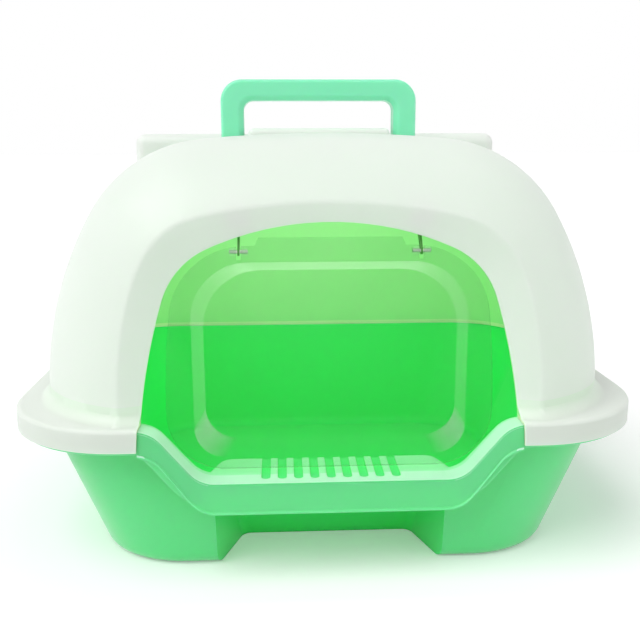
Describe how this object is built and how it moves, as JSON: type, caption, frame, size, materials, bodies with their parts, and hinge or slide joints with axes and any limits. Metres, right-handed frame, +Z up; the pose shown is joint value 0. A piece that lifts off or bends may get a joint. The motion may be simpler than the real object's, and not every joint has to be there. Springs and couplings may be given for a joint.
{
  "type": "hooded litter box",
  "caption": "Hooded pet litter box: deep tray with a lowered front entry, lift-off domed hood with a see-through swinging flap, and a folding carry handle on the roof.",
  "frame": {"origin": "on the floor, below the middle of the box's plan", "axes": "+X to the right side, -Y to the front with the entrance, +Z up"},
  "size_m": [0.52, 0.4, 0.394],
  "materials": {
    "tray": "satin moulded",
    "hood": "satin moulded",
    "flap": "clear, green tint",
    "hanger": "satin moulded",
    "flap_pin": "drawn wire",
    "handle": "satin moulded",
    "handle_pin": "satin moulded"
  },
  "bodies": {
    "base": {"base_tray": "tray"},
    "cover": {"hood": "hood", "door_hanger_left": "hanger", "door_hanger_right": "hanger", "flap_pin_left": "flap_pin", "flap_pin_right": "flap_pin"},
    "flap": {"flap_door": "flap"},
    "grip": {"carry_handle": "handle", "handle_pin_left": "handle_pin", "handle_pin_right": "handle_pin"}
  },
  "joints": [
    {"name": "hood_lift", "type": "slide", "parent": "base", "child": "cover", "axis": [0, 0, 1], "range_m": [0, 0.25]},
    {"name": "flap_swing", "type": "hinge", "parent": "cover", "child": "flap", "pos_m": [0, -0.1725, 0.256], "axis": [1, 0, 0], "range_deg": [-65, 65]},
    {"name": "handle_fold", "type": "hinge", "parent": "cover", "child": "grip", "pos_m": [0, 0.018, 0.34], "axis": [1, 0, 0], "range_deg": [-60, 0]}
  ]
}
